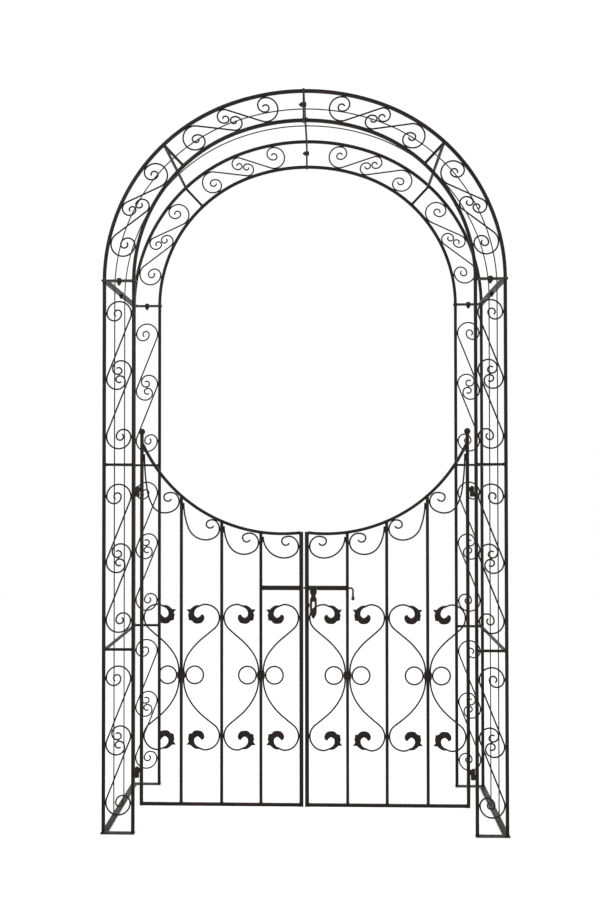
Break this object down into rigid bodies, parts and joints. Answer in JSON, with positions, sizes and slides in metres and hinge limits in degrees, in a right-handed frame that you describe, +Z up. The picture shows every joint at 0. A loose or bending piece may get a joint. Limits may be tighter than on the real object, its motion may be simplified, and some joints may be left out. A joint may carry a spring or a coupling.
{
  "type": "garden trellis arch with double gate",
  "caption": "Free-standing metal garden arch with ladder legs, scroll infill and a pair of scrolled gate leaves with a sliding bolt.",
  "frame": {"origin": "centre of the footprint on the ground, midway between the two legs and between front and back", "axes": "+Z up, X across the passage, -Y is the side with the gates"},
  "size_m": [1.235, 0.5, 2.2635],
  "materials": {
    "square_tube": "antique bronze-black paint, satin, worn to reddish brown",
    "flat_strip": "antique bronze-black paint on flat bar, satin",
    "thin_rods": "antique bronze-black paint on round rod, satin",
    "scroll_wire": "antique bronze-black paint on round wire, satin",
    "cast_ornament": "painted castings, black with brown highlights",
    "hardware": "painted hinge and latch ironwork, dark and slightly rubbed",
    "fasteners": "blackened hexagon screws and nuts"
  },
  "bodies": {
    "root": {"frame_nuts": "fasteners", "frame_screws": "fasteners", "hinge_pintles": "hardware", "left_arch_braces": "square_tube", "left_arch_end_strips": "flat_strip", "left_base_strips": "flat_strip", "left_front_arch_scrolls": "scroll_wire", "left_front_arch_tubes": "square_tube", "left_front_inner_post": "square_tube", "left_front_outer_post": "square_tube", "left_leg_rungs": "square_tube", "left_leg_scrolls": "scroll_wire", "left_leg_top_strips": "flat_strip", "left_rear_arch_scrolls": "scroll_wire", "left_rear_arch_tubes": "square_tube", "left_rear_inner_post": "square_tube", "left_rear_outer_post": "square_tube", "left_roof_rods": "thin_rods", "left_side_rods": "thin_rods", "right_arch_braces": "square_tube", "right_arch_end_strips": "flat_strip", "right_base_strips": "flat_strip", "right_front_arch_scrolls": "scroll_wire", "right_front_arch_tubes": "square_tube", "right_front_inner_post": "square_tube", "right_front_outer_post": "square_tube", "right_leg_rungs": "square_tube", "right_leg_scrolls": "scroll_wire", "right_leg_top_strips": "flat_strip", "right_rear_arch_scrolls": "scroll_wire", "right_rear_arch_tubes": "square_tube", "right_rear_inner_post": "square_tube", "right_rear_outer_post": "square_tube", "right_roof_rods": "thin_rods", "right_side_rods": "thin_rods"},
    "right_gate": {"latch_barrel": "square_tube", "padlock_staple": "hardware", "right_gate_bars": "square_tube", "right_gate_cast_leaves": "cast_ornament", "right_gate_collars": "cast_ornament", "right_gate_finial": "cast_ornament", "right_gate_hinge_eyes": "hardware", "right_gate_hinge_stile": "square_tube", "right_gate_meeting_stile": "square_tube", "right_gate_rails": "square_tube", "right_gate_scrollwork": "scroll_wire"},
    "latch_bolt": {"latch_bolt": "hardware"},
    "latch_hasp": {"latch_hasp": "hardware"},
    "left_gate": {"latch_keeper_tube": "square_tube", "left_gate_bars": "square_tube", "left_gate_cast_leaves": "cast_ornament", "left_gate_collars": "cast_ornament", "left_gate_finial": "cast_ornament", "left_gate_hinge_eyes": "hardware", "left_gate_hinge_stile": "square_tube", "left_gate_meeting_stile": "square_tube", "left_gate_rails": "square_tube", "left_gate_scrollwork": "scroll_wire"}
  },
  "joints": [
    {"name": "left_gate_swing", "type": "hinge", "parent": "root", "child": "left_gate", "pos_m": [-0.5075, -0.24, 0.6], "axis": [0, 0, 1], "range_deg": [-95, 80]},
    {"name": "right_gate_swing", "type": "hinge", "parent": "root", "child": "right_gate", "pos_m": [0.5075, -0.24, 0.6], "axis": [0, 0, 1], "range_deg": [-80, 95]},
    {"name": "bolt_slide", "type": "slide", "parent": "right_gate", "child": "latch_bolt", "axis": [1, 0, 0], "range_m": [-0.0065, 0.015]},
    {"name": "hasp_swing", "type": "hinge", "parent": "right_gate", "child": "latch_hasp", "pos_m": [0.0282, -0.24, 0.744], "axis": [1, 0, 0], "range_deg": [-110, 0]}
  ]
}
